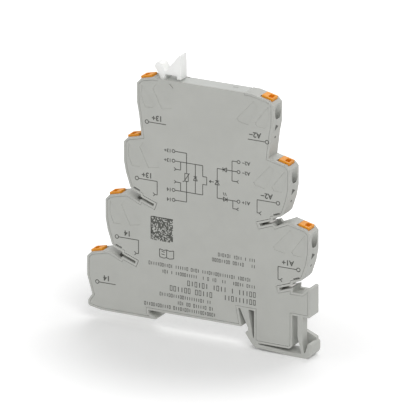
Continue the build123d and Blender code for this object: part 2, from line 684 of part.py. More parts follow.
def side_cover(outline):
    """Near wall with its pegs, thinned beside the relay."""
    plate = offset(outline, -BORDER - COVER_CLEARANCE, kind=Kind.TANGENT)
    gap = COVER_CLEARANCE
    top = [
        (POCKET_LEFT + gap, TOP_EDGE - 2 * RIM_WALL),
        (POCKET_RIGHT - gap, TOP_EDGE - 2 * RIM_WALL),
        (POCKET_RIGHT - gap, TOP_EDGE),
        (POCKET_LEFT + gap, TOP_EDGE),
    ]
    cover = slab(plate + shape(top), NEAR, COVER_INNER)
    half = RELAY_THICKNESS / 2 + RELAY_SIDE_CLEARANCE
    cover -= block((POCKET_LEFT, POCKET_RIGHT), (-half, 0), (POCKET_FLOOR, LEVER_TOP))
    cover -= round_slab((PIVOT_X, PIVOT_Z), LEVER_PIN + 2 * LEVER_PIN_CLEARANCE, -pin_room(), 0)
    for tier in SLOTTED:
        ends = [at(tier, run, undercut(run) - SLIT_EDGE) for run in (SLIT_RUN, SLIT_RUN + SLIT_LENGTH)]
        cover -= strip(ends, SLIT_WIDTH, NEAR - SEAM, COVER_INNER + SEAM)
        frame = slot_band(tier, FRAME_START, SLOT_LENGTH + FRAME_END, FRAME_HALF)
        cover -= slab(frame, NEAR - SEAM, NEAR + RECESS_SINK)
    for tier in LEAVED:
        for leaf in (OUTER_LEAF, INNER_LEAF):
            sink = shape([at(tier, run, drop) for run, drop in leaf])
            cover -= slab(sink, NEAR - SEAM, NEAR + RECESS_SINK)
    nick = [
        (PIVOT_X + TOP_NICK_RUN, PIVOT_Z - TOP_NICK_DROP),
        (PIVOT_X + TOP_NICK_RUN + TOP_NICK_LENGTH, PIVOT_Z - TOP_NICK_DROP - TOP_NICK_LENGTH),
    ]
    cover -= strip(nick, TOP_NICK_WIDTH, NEAR - SEAM, NEAR + 2 * RECESS_SINK)
    for place in peg_places():
        cover += round_slab(place, PEG_DIAMETER, COVER_INNER - SEAM, COVER_INNER + PEG_LENGTH)
    return cover


def release_button(tier):
    """Stepped button with a screwdriver recess in its head."""
    inner = BUTTON_EDGE + BUTTON_WIDTH
    shank = BUTTON_EDGE + SHANK_OFFSET
    top = -BUTTON_PROUD - TIER_CHAMFER_RISE
    button = button_band(tier, top, BUTTON_HEAD, BUTTON_EDGE, inner)
    button += button_band(tier, 0, BUTTON_LENGTH, shank, shank + SHANK_WIDTH)
    solid = slab(button, -BUTTON_DEPTH / 2, BUTTON_DEPTH / 2)
    recess = button_band(tier, top - SEAM, top + RECESS_DEPTH, BUTTON_EDGE + RECESS_EDGE,
                         BUTTON_EDGE + RECESS_EDGE + RECESS_WIDTH)
    return solid - slab(recess, -RECESS_SPAN / 2, RECESS_SPAN / 2)


def clamp_spring(tier):
    """Hairpin of spring strip, its long leg across the wire's way."""
    seat = BAR_FOOT_DROP + (SPRING_LEG - BAR_FOOT_RUN) * tan(radians(BAR_SLOPE))
    points = [
        at(tier, BAR_FOOT_RUN, BAR_FOOT_DROP - SPRING_TIP),
        at(tier, SPRING_LEG - SPRING_CROWN, SPRING_TOP),
        at(tier, SPRING_LEG, SPRING_TOP + SPRING_CROWN / 2),
        at(tier, SPRING_LEG, seat - BAR_STRIP / 2 - SPRING_SEAT_GAP),
    ]
    return strip(points, SPRING_STRIP, -SPRING_SPAN / 2, SPRING_SPAN / 2, radius=SPRING_BEND)


def clamp_path(tier):
    """Contact face of a terminal, from the top down."""
    return [at(tier, BAR_TOP_RUN, BAR_TOP_DROP), at(tier, BAR_FOOT_RUN, BAR_FOOT_DROP)]


def bar_level(tier, riser):
    """Height at which a tier's sloping bar meets an upright riser."""
    return tier.corner - BAR_FOOT_DROP - (tier.reach - riser - BAR_FOOT_RUN) * tan(radians(BAR_SLOPE))


def bridge_fork(tier, riser, level):
    """Two tines beside the bridge slot, joined to a riser at a given level."""
    fork = slot_band(tier, TINE_START, FORK_END, TINE_HALF)
    fork -= slot_band(tier, 0, FORK_END - TINE_STRIP, TINE_GAP / 2)
    solid = slab(fork, BAR_NEAR, WALL_INNER)
    root = slot_axis(tier, FORK_END - TINE_STRIP / 2)
    path = [root, (tier.side * riser, root[1]), (tier.side * riser, level)]
    return solid + strip(path, BAR_STRIP, BAR_NEAR, WALL_INNER)


def board_tab(x_from, x_to, z):
    """Soldering tab lying on the circuit board."""
    ends = (min(x_from, x_to), max(x_from, x_to))
    return block(ends, (BOARD_NEAR - BAR_STRIP, BOARD_NEAR), (z - TAB_SPAN / 2, z + TAB_SPAN / 2))


def pair_bar(upper, lower, riser):
    """Bar between two terminals of the same side through one riser."""
    side = upper.side
    path = clamp_path(upper)
    path += [(side * riser, bar_level(upper, riser)), (side * riser, bar_level(lower, riser))]
    path += clamp_path(lower)[::-1]
    return strip(path, BAR_STRIP, BAR_NEAR, WALL_INNER, radius=BAR_BEND)


def output_supply_bar():
    """Bar of the first two output terminals, with its fork under the second."""
    bar = pair_bar(OUTPUTS[0], OUTPUTS[1], SUPPLY_RISER)
    bar += bridge_fork(OUTPUTS[1], SUPPLY_RISER, bar_level(OUTPUTS[1], SUPPLY_RISER) + BAR_BEND)
    return bar + board_tab(-SUPPLY_RISER, BOARD_LEFT + TAB_LAP, BOARD_TOP - SUPPLY_TAB_DROP)


def output_load_bar():
    """Bar of the last two output terminals, with its fork between them."""
    upper, lower = OUTPUTS[2:]
    path = clamp_path(upper)
    floor = at(lower, 0, BAR_SEAT_DROP)[1]
    path += [(-LOAD_RISER, bar_level(upper, LOAD_RISER)), (-LOAD_RISER, floor)]
    path += [at(lower, BAR_SEAT_RUN, BAR_SEAT_DROP)] + clamp_path(lower)[::-1]
    bar = strip(path, BAR_STRIP, BAR_NEAR, WALL_INNER, radius=BAR_BEND)
    bar += bridge_fork(upper, LOAD_RISER, bar_level(upper, LOAD_RISER))
    branch_end = BOARD_LEFT - RELAY_CLEARANCE
    branch_level = BOARD_BOTTOM + LOAD_TAB_RISE
    branch = [(-LOAD_RISER, branch_level), (branch_end, branch_level)]
    bar += strip(branch, BAR_STRIP, BAR_NEAR, WALL_INNER)
    return bar + board_tab(branch_end - BAR_STRIP, BOARD_LEFT + TAB_LAP, branch_level)


def input_minus_bar():
    """Bar of the first two input terminals, with its fork under the second."""
    bar = pair_bar(INPUTS[0], INPUTS[1], MINUS_RISER)
    bar += bridge_fork(INPUTS[1], MINUS_RISER, bar_level(INPUTS[1], MINUS_RISER) + BAR_BEND)
    return bar + board_tab(MINUS_RISER, BOARD_RIGHT - TAB_LAP, BOARD_TOP - MINUS_TAB_DROP)


def input_plus_bar():
    """Bar of the last input terminal, with its fork and a branch to the board."""
    tier = INPUTS[-1]
    level = bar_level(tier, PLUS_RISER)
    end = BOARD_RIGHT + RELAY_CLEARANCE
    path = clamp_path(tier) + [(PLUS_RISER, level), (end, level)]
    bar = strip(path, BAR_STRIP, BAR_NEAR, WALL_INNER, radius=BAR_BEND)
    bar += bridge_fork(tier, PLUS_RISER, level)
    return bar + board_tab(end + BAR_STRIP, BOARD_RIGHT - TAB_LAP, level)


def circuit_board():
    """Board on the far wall's ribs."""
    corners = [
        (BOARD_LEFT, BOARD_BOTTOM),
        (BOARD_RIGHT, BOARD_BOTTOM),
        (BOARD_RIGHT, BOARD_TOP),
        (BOARD_LEFT, BOARD_TOP),
    ]
    return slab(shape(corners, radius=BOARD_ROUND), BOARD_NEAR, BOARD_FAR)


def chip(x, drop, size):
    """Part with end leads, soldered flat on the board."""
    length, depth, height = size
    z = BOARD_TOP - drop
    half = height / 2
    end = length / 2
    body = block((x - end, x + end), (BOARD_NEAR - depth, BOARD_NEAR), (z - half, z + half))
    reach = end + LEAD_LENGTH
    leads = block((x - reach, x + reach), (BOARD_NEAR - LEAD_STRIP, BOARD_NEAR), (z - half / 2, z + half / 2))
    return body + leads


def socket_contact(x):
    """Fork for one relay pin, with a tail on the circuit board."""
    inner = PIN_STRIP / 2 + SOCKET_CLEARANCE
    outer = inner + SOCKET_STRIP
    bottom = PIN_END - 2 * SOCKET_BASE
    top = POCKET_UNDER - SEAM
    half = SOCKET_SPAN / 2
    base = bottom + SOCKET_BASE
    fork = block((x - outer, x + outer), (-half, half), (bottom, top))
    fork -= block((x - inner, x + inner), (-half - SEAM, half + SEAM), (base, top + SEAM))
    tail = (BOARD_TOP - TAB_SPAN, base)
    return fork + block((x - outer, x + outer), (BOARD_NEAR - BAR_STRIP, BOARD_NEAR), tail)


def relay_case():
    """Cover of the plug-in relay, with the notch for the lever's toe."""
    half = RELAY_THICKNESS / 2
    case = block((RELAY_LEFT, RELAY_RIGHT), (-half, half), (RELAY_BOTTOM + RELAY_BASE, RELAY_TOP))
    case = fillet(case.edges().filter_by(Axis.Y), RELAY_ROUND)
    case += block((CAP_LEFT, RELAY_RIGHT - RELAY_ROUND), (0, FAR), (RELAY_TOP - CAP_HEIGHT, RELAY_TOP))
    top = Plane.XY.offset(RELAY_TOP) * Location((RELAY_RIGHT - DIMPLE_PLACE, DIMPLE_WIDTH, 0))
    case -= extrude(top * SlotOverall(DIMPLE_LENGTH, DIMPLE_WIDTH), amount=-DIMPLE_DEPTH)
    toe_top = PIVOT_Z - TOE_HEIGHT + TOE_CLEARANCE
    toe_low = PIVOT_Z - 2 * TOE_HEIGHT - TOE_DROP
    toe_end = PIVOT_X + TOE_REACH + TOE_ROOM
    return case - block((RELAY_LEFT - SEAM, toe_end), (NEAR, FAR), (toe_low, toe_top))


def relay_base():
    """Base plate of the plug-in relay."""
    half = RELAY_THICKNESS / 2
    return block((RELAY_LEFT, RELAY_RIGHT), (-half, half), (RELAY_BOTTOM, RELAY_BOTTOM + RELAY_BASE))


def relay_pin(x):
    """Flat pin under the relay's base."""
    half = PIN_STRIP / 2
    return block((x - half, x + half), (-PIN_SPAN / 2, PIN_SPAN / 2), (PIN_END, RELAY_BOTTOM))


def light_guide():
    """Clear strip that carries the light from the board to the lever."""
    low = BOARD_TOP - LED_SIZE / 2
    bend = low + 2 * GUIDE_STRIP
    path = [
        (LED_X, low),
        (LED_X, bend),
        (PIVOT_X, bend + GUIDE_STRIP * 3),
        (PIVOT_X, PIVOT_Z - 2 * TOE_HEIGHT - TOE_CLEARANCE),
    ]
    return strip(path, GUIDE_STRIP, GUIDE_NEAR, GUIDE_NEAR + GUIDE_STRIP, radius=GUIDE_STRIP)


def ejector_lever():
    """Forked lever: ears above, hold over the relay, toe in the relay's notch and a pin across."""
    hold = RELAY_TOP + LEVER_HOLD
    stem = RELAY_LEFT - RELAY_CLEARANCE
    toe = PIVOT_X + TOE_REACH
    toe_top = PIVOT_Z - TOE_HEIGHT
    finger_left = PIVOT_X - FINGER_REACH
    corners = [
        ((PIVOT_X - LEVER_BARREL, toe_top), TOE_SHOULDER_ROUND),
        ((PIVOT_X - LEVER_BARREL, hold + LEVER_HOLD), LEVER_EDGE_ROUND),
        ((finger_left, PIVOT_Z + FINGER_RISE - FINGER_WIDTH / 2), LEVER_EDGE_ROUND),
        ((finger_left + FINGER_WIDTH / 4, PIVOT_Z + FINGER_RISE), EAR_ROUND),
        ((finger_left + FINGER_WIDTH, PIVOT_Z + FINGER_RISE - LEVER_HOLD), EAR_ROUND),
        ((PIVOT_X + LEVER_BARREL, PIVOT_Z + VALLEY_RISE), LEVER_CORNER_ROUND),
        ((LEVER_RIGHT - LEVER_HOLD, LEVER_TOP), LEVER_EDGE_ROUND),
        ((LEVER_RIGHT, LEVER_TOP - LEVER_RISE / 3), LEVER_BACK_ROUND),
        ((LEVER_RIGHT, hold), LEVER_CORNER_ROUND),
        ((LEVER_RIGHT - LEVER_HOLD_RUN, hold), LEVER_CORNER_ROUND),
        ((LEVER_RIGHT - LEVER_HOLD_RUN, hold + LEVER_RELIEF), LEVER_EDGE_ROUND),
        ((stem, hold + LEVER_RELIEF), LEVER_EDGE_ROUND),
        ((stem, toe_top), LEVER_CORNER_ROUND / 2),
        ((toe, toe_top), LEVER_CORNER_ROUND),
        ((toe, toe_top - TOE_HEIGHT), LEVER_EDGE_ROUND),
        ((PIVOT_X - LEVER_BARREL / 2, toe_top - TOE_HEIGHT), TOE_HEEL_ROUND),
    ]
    outline = shape([point for point, _ in corners], radius=[radius for _, radius in corners])
    lever = slab(outline, -LEVER_THICKNESS / 2, LEVER_THICKNESS / 2)
    return lever + round_slab((PIVOT_X, PIVOT_Z), LEVER_PIN, -LEVER_PIN_SPAN / 2, LEVER_PIN_SPAN / 2)


def board_parts():
    """Parts soldered on the circuit board, by name."""
    led = block((LED_X - LED_SIZE / 2, LED_X + LED_SIZE / 2), (BOARD_NEAR - LED_DEPTH, BOARD_NEAR),
                (BOARD_TOP - LED_SIZE * 3 / 2 - GUIDE_GAP, BOARD_TOP - LED_SIZE / 2 - GUIDE_GAP))
    place = (0, BOARD_TOP - VARISTOR_DROP)
    varistor = round_slab(place, VARISTOR_DIAMETER, BOARD_NEAR - VARISTOR_DEPTH, BOARD_NEAR)
    return {
        "status_led": led,
        "surge_varistor": varistor,
        "series_resistor": chip(INPUT_ROW, RESISTOR_DROP, RESISTOR_SIZE),
        "input_diode": chip(INPUT_ROW, INPUT_DIODE_DROP, DIODE_SIZE),
        "freewheel_diode": chip(0, FREEWHEEL_DROP, DIODE_SIZE),
        "smoothing_capacitor": chip(INPUT_ROW, CAPACITOR_DROP, CAPACITOR_SIZE),
    }


def build():
    """Every node of the module by name."""
    outline = housing_outline()
    nodes = {
        "housing_shell": housing_shell(outline),
        "side_cover": side_cover(outline),
        "output_supply_bar": output_supply_bar(),
        "output_load_bar": output_load_bar(),
        "input_minus_bar": input_minus_bar(),
        "input_plus_bar": input_plus_bar(),
        "circuit_board": circuit_board(),
        "light_guide": light_guide(),
        "relay_case": relay_case(),
        "relay_base": relay_base(),
        "ejector_lever": ejector_lever(),
    }
    nodes.update(board_parts())
    for tier in TIERS:
        nodes[f"release_button_{tier.name}"] = release_button(tier)
        nodes[f"clamp_spring_{tier.name}"] = clamp_spring(tier)
    for number, x in enumerate(PIN_PLACES, start=1):
        nodes[f"socket_contact_{number}"] = socket_contact(x)
        nodes[f"relay_pin_{number}"] = relay_pin(x)
    return nodes


for name, node in build().items():
    export_step(node, f"parts/{name}.step")
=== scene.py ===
"""Optocoupler relay module: finishes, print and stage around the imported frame, in metres."""

import json
from math import cos, radians, sin

import bmesh
import bpy
from bpy.props import FloatProperty, FloatVectorProperty, PointerProperty
from mathutils import Euler, Matrix, Vector
from mathutils.bvhtree import BVHTree


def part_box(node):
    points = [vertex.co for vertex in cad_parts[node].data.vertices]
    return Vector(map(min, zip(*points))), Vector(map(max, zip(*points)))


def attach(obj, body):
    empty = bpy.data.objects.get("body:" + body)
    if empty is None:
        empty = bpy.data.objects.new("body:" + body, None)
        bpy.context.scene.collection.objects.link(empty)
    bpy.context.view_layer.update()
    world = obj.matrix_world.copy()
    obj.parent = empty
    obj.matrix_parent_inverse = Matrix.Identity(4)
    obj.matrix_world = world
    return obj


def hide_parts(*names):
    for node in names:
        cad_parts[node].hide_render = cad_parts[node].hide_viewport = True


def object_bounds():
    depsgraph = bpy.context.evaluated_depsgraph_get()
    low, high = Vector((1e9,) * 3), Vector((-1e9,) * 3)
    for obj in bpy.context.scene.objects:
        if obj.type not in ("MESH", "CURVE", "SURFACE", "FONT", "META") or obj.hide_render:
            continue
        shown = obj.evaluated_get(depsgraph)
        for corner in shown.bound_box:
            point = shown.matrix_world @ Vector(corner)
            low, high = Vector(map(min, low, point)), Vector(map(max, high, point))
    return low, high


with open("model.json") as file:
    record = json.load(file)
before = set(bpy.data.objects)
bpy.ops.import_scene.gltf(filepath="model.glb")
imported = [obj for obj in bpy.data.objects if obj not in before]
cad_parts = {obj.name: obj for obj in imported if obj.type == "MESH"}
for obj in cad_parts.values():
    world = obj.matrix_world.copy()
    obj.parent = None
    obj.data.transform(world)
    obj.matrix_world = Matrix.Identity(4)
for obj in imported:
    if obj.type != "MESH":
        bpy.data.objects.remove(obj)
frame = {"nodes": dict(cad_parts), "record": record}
CAD_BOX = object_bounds()
NODES = frame["nodes"]

bl_info = {
    "name": "Optocoupler Relay Module",
    "version": (1, 0, 0),
    "blender": (4, 5, 0),
    "location": "3D Viewport > Sidebar > Relay Module",
    "description": "Finishes, print and a studio for a rail-mounted optocoupler relay module",
    "category": "Object",
}

MM = 0.001
NEAR_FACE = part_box("side_cover")[0].y
MODULE_FOOT = CAD_BOX[0].z
OUTPUTS = ("out_1", "out_2", "out_3", "out_4")
INPUTS = ("in_1", "in_2", "in_3")

# Moulded edges, in millimetres and degrees.
WELD = 0.002          # points closer than this are one
FLAT_ANGLE = 1.5      # facets that meet at less than this are one face
ROUNDED_ANGLE = 40    # edges sharper than this are rounded
SMOOTH_ANGLE = 35     # edges sharper than this stay sharp to the light
EDGE_SEGMENTS = 2

# How far gloss drifts about a finish's roughness.
MOULDED_DRIFT = 0.05
ROLLED_DRIFT = (-0.06, 0.08)

# The print on the near face, in millimetres: x and height in the part's frame.
# Lines at the terminals, with the branch of each bridge fork.
TERMINAL_LINES = (
    ((-17.4, 62.8), (-11.2, 62.8)),
    ((-21.0, 43.5), (-14.4, 43.5), (-14.4, 39.0), (-15.2, 39.0), (-15.9, 39.6)),
    ((-15.2, 39.0), (-15.8, 38.4)),
    ((-28.2, 22.8), (-21.1, 22.8), (-21.1, 18.3), (-21.9, 18.3), (-22.6, 18.9)),
    ((-21.9, 18.3), (-22.5, 17.7)),
    ((-35.3, 6.5), (-29.3, 6.5)),
    ((23.6, 62.6), (17.5, 62.6)),
    ((27.5, 43.1), (20.8, 43.1), (20.8, 38.8), (21.6, 38.8), (22.3, 39.4)),
    ((21.6, 38.8), (22.2, 38.2)),
    ((34.7, 22.2), (28.2, 22.2), (28.2, 17.9), (29.0, 17.9), (29.7, 18.5)),
    ((29.0, 17.9), (29.6, 17.3)),
)
TERMINAL_RINGS = (
    (-18.0, 62.8), (-21.6, 43.5), (-28.8, 22.8), (-35.9, 6.5),
    (24.2, 62.6), (28.1, 43.1), (35.3, 22.2),
)
TERMINAL_RING_RADIUS = 0.6
TERMINAL_MARKS = (
    ("13+", -14.4, 64.5), ("13+", -18.0, 45.1), ("14", -25.0, 24.5), ("14", -32.5, 8.2),
    ("A2\u2212", 20.0, 64.4), ("A2\u2212", 24.1, 44.9), ("A1+", 31.6, 24.0),
)
# Load side of the circuit: two rings a pole, the varistor, the diode and the switching stage.
LOAD_CIRCUIT = (
    ((-8.1, 54.5), (-4.0, 54.5), (-4.0, 47.8)),
    ((-4.0, 45.2), (-4.0, 38.3), (-8.1, 38.3)),
    ((-4.6, 47.8), (-3.4, 47.8), (-3.4, 45.2), (-4.6, 45.2), (-4.6, 47.8)),
    ((-5.4, 45.0), (-4.9, 45.0), (-3.0, 48.0)),
    ((-8.1, 51.3), (1.7, 51.3), (1.7, 47.7), (3.1, 47.7), (3.1, 45.1), (1.7, 45.1), (1.7, 41.6),
     (-8.1, 41.6)),
    ((-6.1, 51.3), (-6.1, 48.6), (-7.7, 48.6), (-8.4, 49.1)),
    ((-7.7, 48.6), (-8.4, 48.1)),
    ((-6.1, 41.6), (-6.1, 44.4), (-7.7, 44.4), (-8.4, 44.9)),
    ((-7.7, 44.4), (-8.4, 43.9)),
    ((-0.9, 51.3), (-0.9, 41.6)),
    ((-1.5, 47.2), (-0.3, 47.2)),
    ((-0.9, 47.2), (-1.6, 45.9), (-0.2, 45.9), (-0.9, 47.2)),
)
# Input side of the circuit: the sender with its light arrow, the diode, the lamp and the rings.
INPUT_CIRCUIT = (
    ((4.0, 46.5), (5.6, 46.5)),
    ((4.6, 46.9), (4.0, 46.5), (4.6, 46.1)),
    ((13.7, 54.5), (12.0, 54.5), (12.0, 47.9), (13.6, 47.9), (14.3, 48.4)),
    ((13.6, 47.9), (14.3, 47.4)),
    ((13.8, 51.2), (6.8, 51.2), (6.8, 41.4), (13.8, 41.4)),
    ((6.1, 47.1), (7.5, 47.1)),
    ((6.8, 47.1), (6.0, 45.8), (7.6, 45.8), (6.8, 47.1)),
    ((8.8, 51.9), (8.8, 50.5)),
    ((8.8, 51.2), (10.1, 51.9), (10.1, 50.5), (8.8, 51.2)),
    ((10.3, 42.1), (10.3, 40.7)),
    ((10.3, 41.4), (9.0, 42.1), (9.0, 40.7), (10.3, 41.4)),
    ((9.3, 42.6), (8.9, 43.6)),
    ((10.0, 42.6), (9.6, 43.6)),
    ((12.3, 41.4), (12.3, 38.8), (13.6, 38.8), (14.3, 39.3)),
    ((13.6, 38.8), (14.3, 38.3)),
)
CIRCUIT_RINGS = (
    (-8.6, 54.5), (-8.6, 51.3), (-8.6, 41.6), (-8.6, 38.3),
    (14.3, 54.5), (14.3, 51.2), (14.3, 41.4),
)
CIRCUIT_RING_RADIUS = 0.5
RING_POINTS = 20
CIRCUIT_MARKS = (
    ("13+", -10.7, 54.5), ("13+", -10.7, 51.3), ("14", -10.2, 41.6), ("14", -10.2, 38.3),
    ("A2\u2212", 16.9, 54.5), ("A2\u2212", 16.9, 51.2), ("A1+", 16.9, 41.4),
)
CIRCUIT_MARK_SHARE = 0.68    # of the size of the marks at the terminals
MARK_SPREAD = 0.03           # how far the ink spreads round a letter, as a share of its size
# An open booklet: the manual is to be read.
BOOKLET = (
    ((-11.1, 18.6), (-12.1, 18.3), (-13.6, 18.6), (-13.6, 21.2), (-12.1, 20.9), (-11.1, 21.2),
     (-11.1, 18.6)),
    ((-11.1, 18.6), (-10.1, 18.3), (-8.6, 18.6), (-8.6, 21.2), (-10.1, 20.9), (-11.1, 21.2)),
    ((-11.8, 20.3), (-12.9, 20.5)),
    ((-11.8, 19.4), (-12.9, 19.6)),
)
# Rows of plain figures: left end, right end, height. Figures: pitch, height, stroke.
SMALL_ROWS = (
    (7.4, 19.9, 22.7), (5.3, 19.9, 20.7), (-17.2, 19.9, 16.0),
    (-12.4, -0.6, 13.9), (1.9, 9.6, 13.9), (12.6, 19.9, 13.9),
    (-13.3, 5.9, 6.2), (-7.0, 5.9, 4.1), (-18.8, 5.9, 2.2),
)
LARGE_ROWS = ((-3.3, 19.9, 11.3), (-9.5, 19.9, 8.7))
SMALL_FIGURES = (0.78, 1.05, 0.24)
LARGE_FIGURES = (1.25, 1.6, 0.3)
NOUGHT_BREADTH = 0.55        # of the pitch
WORD_SPACES = 0.16           # share of the places left bare
FIGURE_SEED = 7
# Square code of random cells, with a solid border on two sides.
CODE_CENTRE = (-12.8, 27.8)
CODE_CORNER = (((-16.6, 24.0), (-16.6, 31.6), (-9.0, 31.6)),)
CODE_SIDE = 7.6
CODE_CELLS = 24
CODE_BARE = 0.31             # share of the cells left bare
CODE_SEED = 11
# Wiring arrow and test point on each end face: across the width, and height over the wire entry.
ARROW = ((-1.1, -6.2), (-1.1, -4.1), (1.1, -5.15))
TEST_RADIUS = 0.4
TEST_DROP = 8.6
TEST_POINT = tuple((TEST_RADIUS * cos(radians(turn)), TEST_RADIUS * sin(radians(turn)) - TEST_DROP)
                   for turn in range(0, 360, 30))

# Sockets of a Random Value node, by their places.
RANDOM_LEAST, RANDOM_MOST = 4, 5
RANDOM_INTEGER, RANDOM_BOOLEAN = 2, 3

# Studio, in metres and watts: name, place, size and power of each lamp.
SOFTBOXES = (
    ("key_softbox", (0.75, -0.8, 0.9), 0.7, 7.4),
    ("fill_softbox", (-1.0, -0.6, 0.3), 0.9, 2.0),
    ("back_softbox", (0.0, 0.7, 0.9), 0.8, 4.6),
)
SKY_LIGHT = 0.4              # on the object. 1 is white, for the camera and in reflections
FLOOR_REACH = 3.0
# Glow of the floor to the camera: least in an oval round the module, which paints shade on the
# floor there.
PAINTED_SHADE_OVAL = (60.0, 45.0)     # half lengths in millimetres of the oval of painted shade that the glow is measured by
GLOW_FROM, GLOW_TO = 0.45, 2.0
GLOW_LEAST, GLOW_MOST = 0.04, 0.36
SENSOR_WIDTH = 36.0
CLIP_START, CLIP_END = 0.05, 20.0
OUTSIDE = 0.1                # starting point of the rays that feel for the end faces


def linear(code):
    """Linear colour of an sRGB hex code."""
    parts = [int(code[i:i + 2], 16) / 255 for i in (1, 3, 5)]
    return [c / 12.92 if c <= 0.04045 else ((c + 0.055) / 1.055) ** 2.4 for c in parts] + [1.0]


def linked(name, data):
    """New object in the scene, at the origin."""
    piece = bpy.data.objects.new(name, data)
    bpy.context.scene.collection.objects.link(piece)
    return piece


def evaluated_mesh(piece):
    """New mesh of a piece with its modifiers carried out."""
    graph = bpy.context.evaluated_depsgraph_get()
    return bpy.data.meshes.new_from_object(piece.evaluated_get(graph))


def add(tree, kind, values=None, links=None, **settings):
    """Adds a node with its settings, socket values and links."""
    made = tree.nodes.new(kind)
    for key, value in settings.items():
        setattr(made, key, value)
    for key, value in (values or {}).items():
        made.inputs[key].default_value = value
    for key, socket in (links or {}).items():
        tree.links.new(socket, made.inputs[key])
    return made


def blank_material(name, **values):
    """Material with a Principled shader set to plain values, and the nodes to build on."""
    made = bpy.data.materials.new(name)
    made.use_nodes = True
    shader = made.node_tree.nodes["Principled BSDF"]
    for key, value in values.items():
        shader.inputs[key].default_value = value
    return made, made.node_tree, shader


def toned(tree, shader, pattern, low, high, ends=(0.0, 1.0)):
    """Base colour that a pattern moves between two tones."""
    ramp = add(tree, "ShaderNodeValToRGB", links={"Fac": pattern})
    for element, end, tone in zip(ramp.color_ramp.elements, ends, (low, high)):
        element.position = end
        element.color = linear(tone)
    tree.links.new(ramp.outputs["Color"], shader.inputs["Base Color"])


def glossed(tree, shader, pattern, least, most):
    """Roughness that a pattern moves between two values."""
    gloss = add(tree, "ShaderNodeMapRange", {"To Min": least, "To Max": most}, {"Value": pattern})
    tree.links.new(gloss.outputs["Result"], shader.inputs["Roughness"])


def moulded(name, low, high, grain_mm, bump_mm, blotch_mm=9.0, **values):
    """Injection-moulded plastic: fine eroded grain and a faint drift in colour and gloss."""
    _, tree, shader = blank_material(name, **values)
    place = add(tree, "ShaderNodeTexCoord").outputs["Object"]
    blotch = add(tree, "ShaderNodeTexNoise",
                 {"Scale": 1 / (blotch_mm * MM), "Detail": 3.0, "Roughness": 0.6},
                 {"Vector": place})
    toned(tree, shader, blotch.outputs["Fac"], low, high, (0.3, 0.7))
    grain = add(tree, "ShaderNodeTexNoise", {"Scale": 1 / (grain_mm * MM), "Detail": 2.0},
                {"Vector": place})
    middle = values["Roughness"]
    glossed(tree, shader, grain.outputs["Fac"], middle - MOULDED_DRIFT, middle + MOULDED_DRIFT)
    bump = add(tree, "ShaderNodeBump", {"Strength": 0.35, "Distance": bump_mm * MM},
               {"Height": grain.outputs["Fac"]})
    tree.links.new(bump.outputs["Normal"], shader.inputs["Normal"])


def rolled_metal(name, low, high, streak_mm, **values):
    """Rolled strip: streaks along its length and the soft gloss of its plating."""
    _, tree, shader = blank_material(name, **values)
    place = add(tree, "ShaderNodeTexCoord").outputs["Object"]
    stretch = add(tree, "ShaderNodeMapping", {"Scale": (1.0, 8.0, 1.0)}, {"Vector": place})
    streaks = add(tree, "ShaderNodeTexNoise", {"Scale": 1 / (streak_mm * MM), "Detail": 4.0},
                  {"Vector": stretch.outputs["Vector"]})
    toned(tree, shader, streaks.outputs["Fac"], low, high)
    least, most = (values["Roughness"] + drift for drift in ROLLED_DRIFT)
    glossed(tree, shader, streaks.outputs["Fac"], least, most)


def make_materials():
    """All finishes, each under its own name."""
    # Glass-filled polyamide 6.6, spark-eroded tool: even light grey with a fine dry grain.
    moulded("moulded_grey_polyamide", "#b4b5b0", "#b9bab5", 0.35, 0.03, Roughness=0.52, IOR=1.53)
    # Polybutylene terephthalate, polished tool: orange with a soft shine.
    moulded("moulded_orange_polyester", "#e28f0e", "#f19d15", 0.3, 0.01, Roughness=0.48, IOR=1.46)
    # Milky polycarbonate: pale, light shines a little way into it.
    moulded("milky_polycarbonate", "#f4f5f2", "#f8f9f6", 0.5, 0.006, Roughness=0.3, IOR=1.58,
            **{"Subsurface Weight": 0.5, "Subsurface Scale": 0.002,
               "Subsurface Radius": (1.0, 1.0, 1.0)})
    # Clear polycarbonate of the light guide.
    moulded("clear_polycarbonate", "#eef0ee", "#f4f6f4", 0.6, 0.003, Roughness=0.08, IOR=1.58)
    # Polyester of the relay's case: pale grey, smooth.
    moulded("moulded_relay_polyester", "#bcbeba", "#c3c5c1", 0.3, 0.012, Roughness=0.42, IOR=1.55)
    # Tinned copper strip.
    rolled_metal("tinned_copper", "#c2c0b9", "#d3d1ca", 0.5, Metallic=1.0, Roughness=0.32)
    # Cold-rolled stainless spring strip.
    rolled_metal("rolled_spring_steel", "#9d9c98", "#b5b4b0", 0.3, Metallic=1.0, Roughness=0.28)
    # Glass-epoxy laminate under green solder resist.
    moulded("solder_resist_green", "#1c5a34", "#23673c", 0.6, 0.01, Roughness=0.3, IOR=1.5)
    # Epoxy moulding compound: black and slightly rough.
    moulded("epoxy_black", "#1d1d1e", "#28282a", 0.25, 0.012, Roughness=0.5, IOR=1.5)
    # Blue dipped lacquer of the varistor.
    moulded("dipped_blue_lacquer", "#1f3d78", "#2a4b8c", 0.7, 0.01, Roughness=0.25, IOR=1.5)
    # Sintered ceramic of the capacitor.
    moulded("sintered_ceramic", "#94785a", "#a28665", 0.3, 0.008, Roughness=0.45, IOR=1.6)
    # Clear green epoxy of the light-emitting diode.
    moulded("tinted_led_epoxy", "#8fc47a", "#a3d38d", 0.6, 0.004, Roughness=0.15, IOR=1.55)
    # Dark grey pad-printing ink: matt, thin, slightly uneven cover.
    moulded("pad_print_ink", "#4b4c48", "#5a5b56", 0.4, 0.004, 1.5, Roughness=0.6, IOR=1.5)


